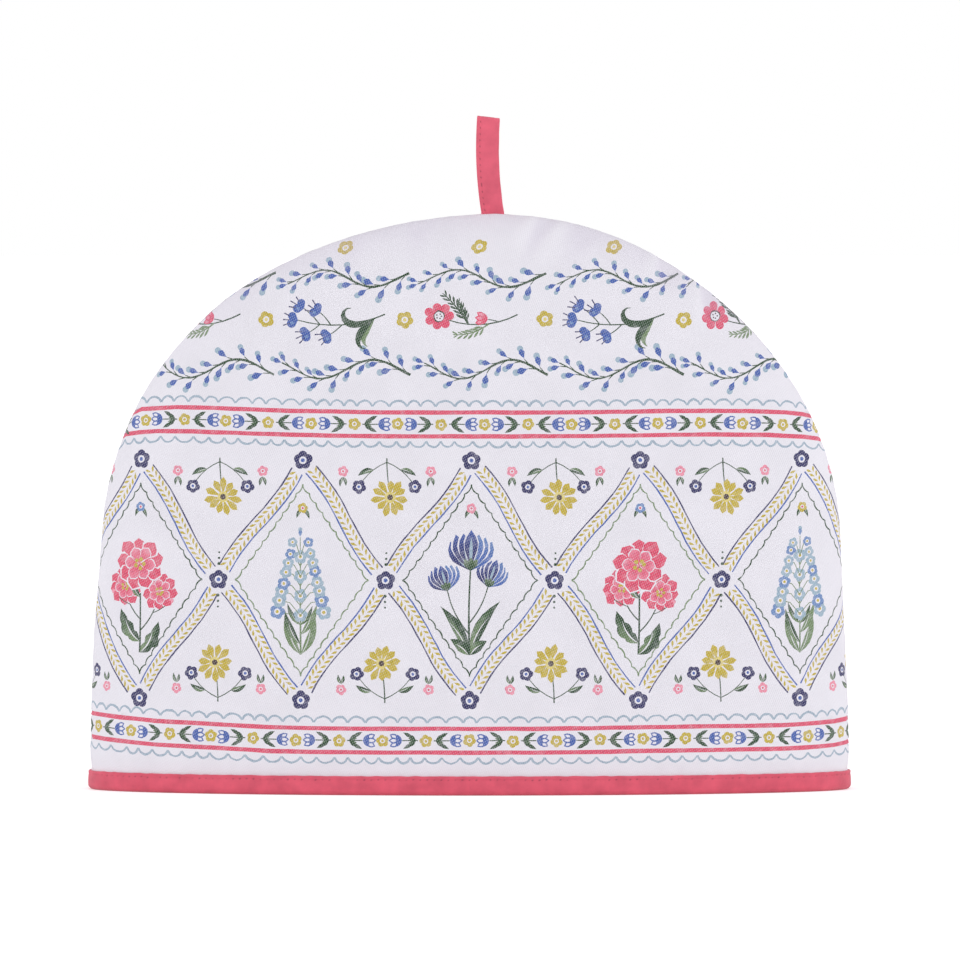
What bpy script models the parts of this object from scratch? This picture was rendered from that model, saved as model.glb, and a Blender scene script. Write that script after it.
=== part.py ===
"""Padded tea cosy: two domed cotton panels, a bound hem and a folded tape loop.

Metres, +Z up. The cosy stands on its hem at z = 0, its width runs along X and its front faces -Y.
Both panels follow one surface, whose level sections are half ellipses. The sections grow shallower
and narrower towards the top, and front and back meet along the seam in the plane y = 0.
"""
import math

import bmesh
import bpy
import numpy as np
from mathutils import Vector

# Whole cosy
BODY_HEIGHT = 0.2647            # hem to the top of the seam
HEM_HALF_WIDTH = 0.1745         # at the side seams, inside the binding's outer face
HEM_HALF_DEPTH = 0.0520         # the mouth is held open this far to front and back
GAP = 0.0003                    # between neighbouring pieces

# Seam outline, seen from the front: a flared side below, part of an ellipse above
ARCH_CENTRE_Z = 0.1115
ARCH_HALF_WIDTH = 0.1697
ARCH_HALF_HEIGHT = BODY_HEIGHT - ARCH_CENTRE_Z
FLARE_TOP_Z = 0.1220            # the flared side runs into the ellipse here
DOME_SHIFT = 0.0009             # the dome stands a little to the right of the hem's middle
DOME_SHIFT_FROM_Z = 0.0800
DOME_SHIFT_TO_Z = 0.1250
PEAK_SHIFT = 0.0095             # and the peak further to the right
PEAK_SHIFT_FROM_Z = 0.2060
PEAK_SHIFT_POWER = 3.0
CROWN_POWER = 1.5               # how quickly the depth falls off towards the top

# Panels
PANEL_THICKNESS = 0.0050        # two cloths with wadding between them
HEM_SQUEEZE = 0.0008            # the binding presses each face in by this much
SQUEEZE_FADE = 0.0070           # height over which the panel swells again above the binding
PANEL_COLUMNS = 40
PANEL_ROWS = 24
SHOULDER = 0.33                 # share of the seam's half length between the peak and a shoulder

# Hem binding: a tape folded round the panels' lower edge
BINDING_HEIGHT = 0.0088
BINDING_CLOTH = 0.0010
BINDING_FLOOR = 0.0013
BINDING_OUTER_RADIUS = 0.0022
BINDING_INNER_RADIUS = 0.0014
BINDING_STEPS = 80

# Loop: a tape folded in half, with its ends sewn into the seam at the peak
LOOP_WIDTH = 0.0105
LOOP_HEIGHT = 0.0436            # above the seam
LOOP_CLOTH = 0.0012
LOOP_TAIL = 0.0080              # below the top of the seam
LOOP_HALF_SPREAD = 0.0040       # the legs bow apart by this much on each side
LOOP_BEND_RADIUS = 0.0011
LOOP_BASE_X = 0.0106
LOOP_BOW = 0.0024               # the middle of the loop leans to the left by this much
LOOP_TOP_SLOPE = 0.12           # the fold drops to the right
LOOP_LEG_STEPS = 16
LOOP_BEND_STEPS = 6

PANEL_BOTTOM_Z = BINDING_FLOOR + GAP

# Soft dents where the cloth sinks between the seam and the wadding: place, reach and depth
DENTS = (
    # x, z, half width, half height, depth
    (0.034, 0.244, 0.016, 0.020, 0.0012),
    (0.082, 0.232, 0.014, 0.020, 0.0011),
    (0.103, 0.215, 0.013, 0.022, 0.0010),
    (-0.070, 0.236, 0.022, 0.022, 0.0008),
    (-0.040, 0.060, 0.060, 0.034, 0.0009),
    (0.095, 0.095, 0.052, 0.040, 0.0010),
)


def arch_half_width_squared(z):
    """Square of the seam's half width on the upper ellipse; below zero past its top."""
    rise = (z - ARCH_CENTRE_Z) / ARCH_HALF_HEIGHT
    return ARCH_HALF_WIDTH ** 2 * (1.0 - rise * rise)


def seam_half_width(z):
    """Half the distance between the left and right seam at height z."""
    if z >= FLARE_TOP_Z:
        return math.sqrt(max(arch_half_width_squared(z), 0.0))
    end_width = math.sqrt(arch_half_width_squared(FLARE_TOP_Z))
    end_rise = (FLARE_TOP_Z - ARCH_CENTRE_Z) / ARCH_HALF_HEIGHT
    end_slope = -ARCH_HALF_WIDTH ** 2 * end_rise / (ARCH_HALF_HEIGHT * end_width)
    share = max(z, 0.0) / FLARE_TOP_Z
    ease = share * share * (3.0 - 2.0 * share)
    lean = share * share * (share - 1.0) * FLARE_TOP_Z * end_slope
    return HEM_HALF_WIDTH + (end_width - HEM_HALF_WIDTH) * ease + lean


def seam_middle(z):
    """X of the middle between the left and right seam at height z."""
    rise = min(max((z - DOME_SHIFT_FROM_Z) / (DOME_SHIFT_TO_Z - DOME_SHIFT_FROM_Z), 0.0), 1.0)
    share = max(0.0, (z - PEAK_SHIFT_FROM_Z) / (BODY_HEIGHT - PEAK_SHIFT_FROM_Z))
    return DOME_SHIFT * rise * rise * (3.0 - 2.0 * rise) + PEAK_SHIFT * share ** PEAK_SHIFT_POWER


def fullness(x, z):
    """Square of the surface's distance from the seam plane, as a share of the hem's; 0 on the seam."""
    z = min(z, BODY_HEIGHT - 1e-6)
    crown = 1.0 - (max(z, 0.0) / BODY_HEIGHT) ** CROWN_POWER
    across = (x - seam_middle(z)) / seam_half_width(z)
    return crown * (1.0 - across * across)


def surface_point(x, z):
    """Point on the front surface and its outward direction, before the cloth's own thickness."""
    out = HEM_HALF_DEPTH * math.sqrt(max(fullness(x, z), 0.0))
    step = 1e-5
    base = min(z, BODY_HEIGHT - 2.5 * step)
    slope_x = (fullness(x + step, base) - fullness(x - step, base)) / (2.0 * step)
    slope_z = (fullness(x, base + step) - fullness(x, base - step)) / (2.0 * step)
    outward = Vector((-slope_x, -2.0 * out / HEM_HALF_DEPTH ** 2, -slope_z))
    return Vector((x, -out, z)), outward.normalized()


def dent_depth(x, z):
    """How far the cloth sinks at a place on the panel."""
    total = 0.0
    for middle_x, middle_z, half_width, half_height, depth in DENTS:
        reach = ((x - middle_x) / half_width) ** 2 + ((z - middle_z) / half_height) ** 2
        total += depth * math.exp(-reach)
    return total


def squeeze_at(z):
    """How far the binding presses a face of the panel in at height z."""
    share = min(max((z - BINDING_HEIGHT) / SQUEEZE_FADE, 0.0), 1.0)
    return HEM_SQUEEZE * (1.0 - share * share * (3.0 - 2.0 * share))


def seam_table(samples=600):
    """The right-hand seam from the hem to the peak: shares of its length, x and z."""
    turn = np.linspace(0.0, 0.5 * math.pi, samples)
    heights = PANEL_BOTTOM_Z + (BODY_HEIGHT - PANEL_BOTTOM_Z) * np.sin(turn)
    halves = np.array([seam_half_width(z) for z in heights])
    steps = np.hypot(np.diff(halves), np.diff(heights))
    lengths = np.concatenate(([0.0], np.cumsum(steps)))
    return lengths / lengths[-1], halves, heights


SEAM_SHARES, SEAM_HALVES, SEAM_HEIGHTS = seam_table()


def seam_point(place):
    """Point (x, z) on the seam: -1 is the left hem corner, 0 the peak and 1 the right hem corner."""
    share = 1.0 - abs(place)
    half = float(np.interp(share, SEAM_SHARES, SEAM_HALVES))
    height = float(np.interp(share, SEAM_SHARES, SEAM_HEIGHTS))
    return Vector((seam_middle(height) + math.copysign(half, place), height))


def front_plane_point(across, up):
    """Map a square to the panel's front view: across and up run from 0 to 1, edges on the outline."""
    hem = Vector(((2.0 * across - 1.0) * seam_half_width(PANEL_BOTTOM_Z), PANEL_BOTTOM_Z))
    top = seam_point((2.0 * across - 1.0) * SHOULDER)
    left = seam_point(-1.0 + (1.0 - SHOULDER) * up)
    right = seam_point(1.0 - (1.0 - SHOULDER) * up)
    corners = ((1.0 - up) * ((1.0 - across) * seam_point(-1.0) + across * seam_point(1.0))
               + up * ((1.0 - across) * seam_point(-SHOULDER) + across * seam_point(SHOULDER)))
    return (1.0 - up) * hem + up * top + (1.0 - across) * left + across * right - corners


def gathered(place):
    """Spread -1..1 to 0..1, with the steps shortest at both ends, where the cloth turns."""
    return 0.5 + 0.5 * math.sin(0.5 * math.pi * place)


def panel_point(place_across, place_up, is_inner):
    """Point of the front panel's outer or inner face, for a place on the flat square grid."""
    flat = front_plane_point(gathered(place_across), gathered(place_up))
    point, outward = surface_point(flat.x, flat.y)
    depth = squeeze_at(flat.y)
    if is_inner:
        depth = PANEL_THICKNESS - depth
    on_edge = abs(place_across) > 0.999 or place_up > 0.999
    if not on_edge:
        depth += dent_depth(flat.x, flat.y)
    else:
        outward.y = 0.0
        outward.normalize()
    placed = point - depth * outward
    if place_up < -0.999:
        placed.z = PANEL_BOTTOM_Z
    placed.y -= 0.5 * GAP
    return placed


def cloth_material(name, colour, roughness):
    """Plain woven cloth in one colour."""
    material = bpy.data.materials.new(name)
    material.use_nodes = True
    shader = material.node_tree.nodes["Principled BSDF"]
    shader.inputs["Base Color"].default_value = (*colour, 1.0)
    shader.inputs["Roughness"].default_value = roughness
    shader.inputs["Metallic"].default_value = 0.0
    return material


def add_object(name, bm, material, collection):
    """Turn a bmesh into a named object with outward faces and soft shading."""
    bmesh.ops.recalc_face_normals(bm, faces=bm.faces[:])
    mesh = bpy.data.meshes.new(name)
    bm.to_mesh(mesh)
    bm.free()
    mesh.materials.append(material)
    mesh.shade_smooth()
    mesh.set_sharp_from_angle(angle=math.radians(50.0))
    item = bpy.data.objects.new(name, mesh)
    collection.objects.link(item)
    return item


def build_panel(name, side, material, collection):
    """One padded panel: a flat two-layer grid bent over the surface. side is -1 at the front."""
    bm = bmesh.new()
    bmesh.ops.create_grid(bm, x_segments=PANEL_COLUMNS, y_segments=PANEL_ROWS, size=1.0)
    bmesh.ops.solidify(bm, geom=bm.faces[:], thickness=1.0)
    layers = [vert.co.z for vert in bm.verts]
    middle_layer = 0.5 * (min(layers) + max(layers))
    for vert in bm.verts:
        placed = panel_point(vert.co.x, vert.co.y, vert.co.z < middle_layer)
        vert.co = Vector((placed.x, -side * placed.y, placed.z))
    return add_object(name, bm, material, collection)


def hem_point(turn, depth):
    """Point (x, y) at a depth behind the hem's outer face, for a turn round the mouth."""
    half_width = seam_half_width(0.0)
    on_hem = Vector((half_width * math.cos(turn), HEM_HALF_DEPTH * math.sin(turn)))
    outward = Vector((math.cos(turn) / half_width, math.sin(turn) / HEM_HALF_DEPTH))
    return on_hem - depth * outward.normalized()


def corner(middle_depth, middle_z, radius, first_angle, last_angle, steps):
    """Points of a rounded corner in the binding's section, as (depth, z)."""
    points = []
    for index in range(steps + 1):
        angle = math.radians(first_angle + (last_angle - first_angle) * index / steps)
        points.append((middle_depth + radius * math.cos(angle), middle_z + radius * math.sin(angle)))
    return points


def binding_section():
    """Closed U-shaped section of the binding: depth behind the panel's face, and z."""
    wall_outer = HEM_SQUEEZE - GAP
    wall_inner = PANEL_THICKNESS - HEM_SQUEEZE + GAP
    face_outer = wall_outer - BINDING_CLOTH
    face_inner = wall_inner + BINDING_CLOTH
    fold = 0.5 * BINDING_CLOTH
    points = corner(face_outer + BINDING_OUTER_RADIUS, BINDING_OUTER_RADIUS,
                    BINDING_OUTER_RADIUS, 270.0, 180.0, 4)
    points += corner(face_outer + fold, BINDING_HEIGHT - fold, fold, 180.0, 0.0, 4)
    points += [(wall_outer, BINDING_FLOOR), (wall_inner, BINDING_FLOOR)]
    points += corner(face_inner - fold, BINDING_HEIGHT - fold, fold, 180.0, 0.0, 4)
    points += corner(face_inner - BINDING_INNER_RADIUS, BINDING_INNER_RADIUS,
                     BINDING_INNER_RADIUS, 0.0, -90.0, 3)
    return points


def build_binding(material, collection):
    """The hem binding: its section carried once round the mouth, on a torus's ring of faces."""
    section = binding_section()
    bpy.ops.mesh.primitive_torus_add(major_segments=BINDING_STEPS, minor_segments=len(section),
                                     major_radius=1.0, minor_radius=0.25)
    source = bpy.context.object
    bm = bmesh.new()
    bm.from_mesh(source.data)
    bpy.data.objects.remove(source)
    for vert in bm.verts:
        turn = math.atan2(vert.co.y, vert.co.x)
        from_ring = math.hypot(vert.co.x, vert.co.y) - 1.0
        place = math.atan2(vert.co.z, from_ring) / (2.0 * math.pi) * len(section)
        depth, height = section[round(place) % len(section)]
        flat = hem_point(turn, depth)
        vert.co = Vector((flat.x, flat.y, height))
    return add_object("hem_binding", bm, material, collection)


def loop_path():
    """Middle line of the tape seen from the side, front leg up, fold and back leg down: (y, z)."""
    leg_y = 0.5 * GAP + 0.5 * LOOP_CLOTH
    bend_z = BODY_HEIGHT + LOOP_HEIGHT - LOOP_BEND_RADIUS - 0.5 * LOOP_CLOTH
    front = [(-leg_y, BODY_HEIGHT - LOOP_TAIL), (-leg_y, BODY_HEIGHT - 0.5 * LOOP_TAIL)]
    for index in range(LOOP_LEG_STEPS):
        share = index / LOOP_LEG_STEPS
        ends = leg_y + (LOOP_BEND_RADIUS - leg_y) * share
        belly = (LOOP_HALF_SPREAD - ends) * math.sin(math.pi * share) ** 1.6
        front.append((-ends - belly, BODY_HEIGHT + (bend_z - BODY_HEIGHT) * share))
    back = [(-y, z) for y, z in reversed(front)]
    bend = []
    for index in range(LOOP_BEND_STEPS + 1):
        angle = math.pi * (1.0 - index / LOOP_BEND_STEPS)
        bend.append((LOOP_BEND_RADIUS * math.cos(angle), bend_z + LOOP_BEND_RADIUS * math.sin(angle)))
    return front + bend + back


def loop_middle_x(z):
    """The tape leans left on its way up, and a little back to the right at the fold."""
    share = max(0.0, (z - BODY_HEIGHT) / LOOP_HEIGHT)
    return LOOP_BASE_X - LOOP_BOW * math.sin(0.72 * math.pi * share ** 0.9)


def build_loop(material, collection):
    """The hanging loop: a strip bent along its path and thickened to the tape's thickness."""
    path = loop_path()
    bm = bmesh.new()
    bmesh.ops.create_grid(bm, x_segments=2, y_segments=len(path) - 1, size=1.0)
    for vert in bm.verts:
        place = round(0.5 * (vert.co.y + 1.0) * (len(path) - 1))
        y, z = path[place]
        across = 0.5 * LOOP_WIDTH * vert.co.x
        share = max(0.0, (z - BODY_HEIGHT) / LOOP_HEIGHT)
        vert.co = Vector((loop_middle_x(z) + across, y, z - LOOP_TOP_SLOPE * across * share * share))
    item = add_object("hanging_loop", bm, material, collection)
    thick = item.modifiers.new("tape thickness", "SOLIDIFY")
    thick.thickness = LOOP_CLOTH
    thick.offset = 0.0
    thick.use_even_offset = True
    return item


def add_loop_slot(panels, collection):
    """Cut the place in both panels' seam edges where the ends of the loop are sewn in."""
    half_width = 0.5 * LOOP_WIDTH + GAP
    half_depth = LOOP_CLOTH + 1.5 * GAP
    bpy.ops.mesh.primitive_cube_add(size=2.0, location=(LOOP_BASE_X, 0.0, BODY_HEIGHT))
    cutter = bpy.context.object
    cutter.name = "loop_slot_cutter"
    for vert in cutter.data.vertices:
        vert.co.x *= half_width
        vert.co.y *= half_depth
        vert.co.z *= 2.0 * LOOP_TAIL
    cutter.hide_render = True
    cutter.display_type = "WIRE"
    for old in cutter.users_collection:
        old.objects.unlink(cutter)
    collection.objects.link(cutter)
    for panel in panels:
        cut = panel.modifiers.new("loop slot", "BOOLEAN")
        cut.object = cutter
        cut.operation = "DIFFERENCE"
        cut.solver = "EXACT"


def main():
    """Build the cosy's four pieces."""
    for item in list(bpy.data.objects):
        bpy.data.objects.remove(item)
    pieces = bpy.data.collections.new("tea_cosy")
    cutters = bpy.data.collections.new("cutters")
    bpy.context.scene.collection.children.link(pieces)
    bpy.context.scene.collection.children.link(cutters)

    front_cloth = cloth_material("front cotton twill", (0.86, 0.84, 0.88), 0.85)
    back_cloth = cloth_material("back cotton twill", (0.86, 0.84, 0.88), 0.85)
    binding_cloth = cloth_material("coral binding", (0.70, 0.115, 0.175), 0.80)
    loop_cloth = cloth_material("coral tape", (0.72, 0.145, 0.205), 0.80)

    front = build_panel("front_panel", -1.0, front_cloth, pieces)
    back = build_panel("back_panel", 1.0, back_cloth, pieces)
    build_binding(binding_cloth, pieces)
    build_loop(loop_cloth, pieces)
    add_loop_slot((front, back), cutters)


main()
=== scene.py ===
"""Looks of the padded tea cosy: printed twill panels, bound hem and tape loop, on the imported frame."""
import math
import random

import bpy
import numpy as np
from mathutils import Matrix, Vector, noise
from mathutils.geometry import delaunay_2d_cdt


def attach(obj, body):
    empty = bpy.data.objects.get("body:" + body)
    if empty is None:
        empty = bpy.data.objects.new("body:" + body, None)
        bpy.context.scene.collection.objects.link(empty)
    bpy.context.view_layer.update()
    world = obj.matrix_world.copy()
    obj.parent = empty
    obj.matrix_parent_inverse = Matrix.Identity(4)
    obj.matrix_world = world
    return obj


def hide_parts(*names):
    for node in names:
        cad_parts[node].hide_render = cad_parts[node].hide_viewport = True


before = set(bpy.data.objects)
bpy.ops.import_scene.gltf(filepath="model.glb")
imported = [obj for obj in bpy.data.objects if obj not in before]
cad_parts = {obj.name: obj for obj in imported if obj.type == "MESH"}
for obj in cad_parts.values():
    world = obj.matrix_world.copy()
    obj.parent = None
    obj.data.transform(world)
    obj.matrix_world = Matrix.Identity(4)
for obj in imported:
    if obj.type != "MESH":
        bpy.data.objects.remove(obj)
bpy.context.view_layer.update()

MM = 0.001
TURN = 2.0 * math.pi
UP = 0.5 * math.pi

# The cosy's form, in metres: the same driving dimensions as its solids
BODY_HEIGHT = 0.2647
HEM_HALF_WIDTH = 0.1745
HEM_HALF_DEPTH = 0.0520
ARCH_CENTRE_Z = 0.1115
ARCH_HALF_WIDTH = 0.1697
ARCH_HALF_HEIGHT = BODY_HEIGHT - ARCH_CENTRE_Z
FLARE_TOP_Z = 0.1220
DOME_SHIFT = 0.0009
DOME_SHIFT_FROM_Z = 0.0800
DOME_SHIFT_TO_Z = 0.1250
PEAK_SHIFT = 0.0095
PEAK_SHIFT_FROM_Z = 0.2060
PEAK_SHIFT_POWER = 3.0
CROWN_POWER = 1.5
PANEL_THICKNESS = 0.0050
PANEL_BOTTOM_Z = 0.0016
HEM_SQUEEZE = 0.0008
SQUEEZE_FADE = 0.0070
BINDING_HEIGHT = 0.0088
LOOP_WIDTH = 0.0105
LOOP_HEIGHT = 0.0436
LOOP_CLOTH = 0.0012
LOOP_BASE_X = 0.0106
LOOP_TAIL = 0.0080              # sewn into the seam
LOOP_HALF_SPREAD = 0.0040       # between the legs, at their widest
LOOP_BEND_RADIUS = 0.0011
LOOP_BOW = 0.0024               # to the left
LOOP_TOP_SLOPE = 0.12           # falls to the right

# Seam, in metres
SEAM_GAP = 0.00012
SEAM_SINK = 0.0011              # the seam pulls the cloth in
BINDING_FADE = 0.0030           # above the binding the cloth's relief comes in
LOOP_PARTING = 0.0015           # the loop holds it open
PARTING_INSET = 0.0008
PARTING_FADE = 0.0014

# Meshes and stitches, in millimetres
SEAM_SINK_REACH = 2.0
GRID_STEP = 2.4
GRID_INSET = 4.4
ROW_SHARE = 0.87                # of the step, from row to row
SEAM_ROWS = (0.9, 1.9, 3.2)     # closer rows of points along the edge
EDGE_STEP = 1.1
INNER_STEP = 7.0
BINDING_STITCHES = 240          # round the hem
BINDING_STITCH_DROP = 1.7       # from the binding's upper edge
LOOP_STITCH_PITCH = 2.9
LOOP_STITCH_INSET = 1.8         # from the tape's left edge
LOOP_HOLE_SHARE = 0.34          # of the pitch

# Relief of the cloth and its stitches, in millimetres
BROAD_WAVE = 0.75
FINE_WAVE = 0.16
SEAM_PUCKER = 0.20
SEAM_PUCKER_PITCH = 11.0
SEAM_MIDDLE_V = 120.0           # the seam as a circle, to count its puckers
SEAM_RADIUS = 170.0
HEM_PUCKER = 0.14
HEM_PUCKER_PITCH = 9.5
DOME_SHADE_V = 190.0            # painted shade beside the seam on the dome's cloth, fading in from here
DOME_SHADE_FADE = 45.0
DOME_SHADE_REACH = 13.0
PARTING_REACH = 4.0
BINDING_PUFF = 0.16
BINDING_RIPPLE = 0.07
BINDING_RIPPLE_PITCH = 9.6
BINDING_HOLE = 0.34
BINDING_STITCH = 0.12
LOOP_HOLE = 0.28
LOOP_STITCH = 0.10
LOOP_FOLD = 0.10

# Thread and ink colours (sRGB)
GROUND = (0.912, 0.912, 0.935)
BARE = None
CORAL = (0.860, 0.290, 0.410)
ROSE = (0.915, 0.560, 0.640)
PALE_BLUE = (0.600, 0.700, 0.760)
SCALLOP = (0.620, 0.695, 0.750)
SKY = (0.420, 0.545, 0.735)
BLUE = (0.235, 0.365, 0.660)
NAVY = (0.150, 0.150, 0.365)
MUSTARD = (0.755, 0.675, 0.190)
STRAW = (0.860, 0.800, 0.460)
GREEN = (0.135, 0.275, 0.140)
SAGE = (0.430, 0.530, 0.360)
BROWN = (0.300, 0.235, 0.200)
TAPE_CORAL = (0.885, 0.385, 0.468)
BINDING_CORAL = (0.860, 0.350, 0.432)

# Linear tints of the printed cloth; the trough tint is painted shade and the ridge tint painted light
WEAVE_SHADE = (0.70, 0.69, 0.75)
INK_DEPTH = (0.70, 0.72, 0.78)
# Painted shade for the creases' troughs and the dome's seam, and painted light for their ridges
PAINTED_TROUGH_SHADE = (0.52, 0.46, 0.60)
PAINTED_RIDGE_LIGHT = (0.97, 0.97, 1.0)

# Weaves, in millimetres
RIB_PITCH = 0.98
RIB_LEAN = 0.42
FLOAT_LENGTH = 1.25
FLOAT_LEAN = 0.55
WARP_PITCH = 0.36
WEFT_PITCH = 0.42

# Camera and lamps, in metres and degrees
PICTURE_WIDTH = 960 * 0.4587 * MM
CAMERA_TARGET = (0.0048, 0.0, 0.1418)
CAMERA_TILT = 1.9
LAMP_SOFTNESS = 40.0
LAMPS = (("front", (-0.08, -1.0, 0.38), 0.38), ("left", (-1.0, -0.25, 0.05), 1.12),
         ("right", (1.0, -0.25, 0.05), 1.36))

# Print, in millimetres on the flat cloth
PRINT_SEED = 11
LOWER_BAND_V = 23.4             # middle of the band
LOWER_BAND_HEIGHT = 10.8        # from line to line
UPPER_BAND_V = 167.3
UPPER_BAND_HEIGHT = 11.0
UPPER_BAND_SHIFT = 6.0
TRELLIS_BOTTOM = 41.5
TRELLIS_TOP = 151.0
DOME_PRINT_V = 178.0
LINE_WIDTH = 2.0                # the coral lines
RIBBON_PITCH = 19.8
SCALLOP_HEIGHT = 2.6
SPRAY_PITCH = 62.6
SPRAY_LENGTH = 57.5
BUD_STEP = 3.45
ROW_PITCH = 64.0                # the lying sprigs
LOZENGE_HALF = 38.5


# ---------------------------------------------------------------- small helpers

def ease(share):
    """A smooth step from 0 to 1."""
    return share * share * (3.0 - 2.0 * share)


def totals(steps):
    """Running totals, from zero."""
    return np.concatenate(([0.0], np.cumsum(steps)))


def polar(place, angle, reach):
    """The place that lies reach away at an angle."""
    return place[0] + reach * math.cos(angle), place[1] + reach * math.sin(angle)


def beside(start, angle, along, off):
    """The place along a line from start and off it to the left."""
    return polar(polar(start, angle, along), angle + UP, off)


def measure(start, end):
    """Length and direction of a straight line."""
    return math.dist(start, end), math.atan2(end[1] - start[1], end[0] - start[0])


def spokes(count, first=0.0):
    """Angles of even spokes."""
    return [first + TURN * index / count for index in range(count)]


def linear(colour):
    """A linear colour from an sRGB one."""
    colour = np.asarray(colour, float)
    return np.where(colour <= 0.04045, colour / 12.92, ((colour + 0.055) / 1.055) ** 2.4)


# ---------------------------------------------------------------- form of the panels

def arch_half_width_squared(z):
    """Square of the seam's half width on the upper ellipse; below zero past its top."""
    rise = (z - ARCH_CENTRE_Z) / ARCH_HALF_HEIGHT
    return ARCH_HALF_WIDTH ** 2 * (1.0 - rise * rise)


def seam_half_width(z):
    """Half the distance between the left and right seam, for an array of heights."""
    z = np.asarray(z, float)
    arch = np.sqrt(np.maximum(arch_half_width_squared(z), 1e-12))
    end_width = math.sqrt(arch_half_width_squared(FLARE_TOP_Z))
    end_rise = (FLARE_TOP_Z - ARCH_CENTRE_Z) / ARCH_HALF_HEIGHT
    end_slope = -ARCH_HALF_WIDTH ** 2 * end_rise / (ARCH_HALF_HEIGHT * end_width)
    share = np.clip(z, 0.0, FLARE_TOP_Z) / FLARE_TOP_Z
    lean = share * share * (share - 1.0) * FLARE_TOP_Z * end_slope
    flare = HEM_HALF_WIDTH + (end_width - HEM_HALF_WIDTH) * ease(share) + lean
    return np.where(z >= FLARE_TOP_Z, arch, flare)


def seam_middle(z):
    """X of the middle between the left and right seam."""
    z = np.asarray(z, float)
    rise = np.clip((z - DOME_SHIFT_FROM_Z) / (DOME_SHIFT_TO_Z - DOME_SHIFT_FROM_Z), 0.0, 1.0)
    share = np.maximum(0.0, (z - PEAK_SHIFT_FROM_Z) / (BODY_HEIGHT - PEAK_SHIFT_FROM_Z))
    return DOME_SHIFT * ease(rise) + PEAK_SHIFT * share ** PEAK_SHIFT_POWER


def crown(z):
    """Square of the middle's depth at height z, as a share of the hem's."""
    return 1.0 - (np.clip(z, 0.0, BODY_HEIGHT - 1e-6) / BODY_HEIGHT) ** CROWN_POWER


def fullness(x, z):
    """Square of the surface's distance from the seam plane, as a share of the hem's."""
    z = np.minimum(z, BODY_HEIGHT - 1e-6)
    across = (x - seam_middle(z)) / seam_half_width(z)
    return crown(z) * (1.0 - across * across)


def outward_directions(x, y, z):
    """Outward unit directions of the front surface."""
    step = 1e-5
    base = np.minimum(z, BODY_HEIGHT - 2.5 * step)
    slope_x = (fullness(x + step, base) - fullness(x - step, base)) / (2.0 * step)
    slope_z = (fullness(x, base + step) - fullness(x, base - step)) / (2.0 * step)
    out = np.stack([-slope_x, 2.0 * y / HEM_HALF_DEPTH ** 2, -slope_z], axis=1)
    return out / np.linalg.norm(out, axis=1, keepdims=True)


class FlatCloth:
    """The panel laid flat: u runs across and v up from the lower edge, both in millimetres."""

    LEVELS = 260
    TURNS = 181

    def __init__(self):
        sweep = np.sin(np.linspace(0.0, UP, self.LEVELS))
        self.heights = PANEL_BOTTOM_Z + (BODY_HEIGHT - PANEL_BOTTOM_Z) * sweep
        self.halves = seam_half_width(self.heights)
        self.halves[-1] = 1e-6
        self.depths = HEM_HALF_DEPTH * np.sqrt(crown(self.heights))
        self.levels_v = totals(np.hypot(np.diff(self.heights), np.diff(self.depths))) / MM
        turns = np.linspace(0.0, UP, self.TURNS)
        along = np.hypot(self.halves[:, None] * np.cos(turns), self.depths[:, None] * np.sin(turns))
        arcs = [totals(0.5 * (row[1:] + row[:-1]) * turns[1]) for row in along]
        self.levels_u = np.array([arc[-1] for arc in arcs]) / MM
        shares = np.linspace(0.0, 1.0, self.TURNS)
        self.turn_table = np.stack([np.interp(shares, arc / arc[-1], turns) for arc in arcs])
        self.height = self.levels_v[-1]
        self.half_width = self.levels_u[0]

    def half_width_at(self, v):
        """Half the cloth's flat width at v."""
        return np.interp(v, self.levels_v, self.levels_u)

    def to_surface(self, u, v, on_seam):
        """Points and outward directions of the front surface for flat places."""
        level = np.interp(v, self.levels_v, np.arange(self.LEVELS))
        low = np.minimum(level.astype(int), self.LEVELS - 2)
        blend = level - low
        share = np.where(on_seam, 1.0, np.clip(np.abs(u) / self.half_width_at(v), 0.0, 1.0))
        column = share * (self.TURNS - 1)
        left = np.minimum(column.astype(int), self.TURNS - 2)
        mix = column - left
        table = self.turn_table
        turn = ((1 - blend) * ((1 - mix) * table[low, left] + mix * table[low, left + 1])
                + blend * ((1 - mix) * table[low + 1, left] + mix * table[low + 1, left + 1]))
        z, half, depth = (np.interp(v, self.levels_v, values)
                          for values in (self.heights, self.halves, self.depths))
        x = seam_middle(z) + np.copysign(half * np.sin(turn), u)
        y = np.where(share >= 1.0, 0.0, -depth * np.cos(turn))
        return np.stack([x, y, z], axis=1), outward_directions(x, y, z)

    def outline(self, step):
        """Closed flat outline, from the left hem corner to the right one and back over the top."""
        seam_v = self.height * np.sin(UP * np.linspace(0.0, 1.0, 1200))
        seam_u = self.half_width_at(seam_v)
        seam_u[-1] = 0.0
        lengths = totals(np.hypot(np.diff(seam_u), np.diff(seam_v)))
        places = np.linspace(0.0, lengths[-1], round(lengths[-1] / step) + 1)[1:]
        right = list(zip(np.interp(places, lengths, seam_u).tolist(),
                         np.interp(places, lengths, seam_v).tolist()))
        count = round(2 * self.half_width / step) + 1
        hem = [(u, 0.0) for u in np.linspace(-self.half_width, self.half_width, count).tolist()]
        return hem + right + [(-u, v) for u, v in reversed(right[:-1])]


CLOTH = FlatCloth()


# ---------------------------------------------------------------- drawing on the flat cloth

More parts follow.
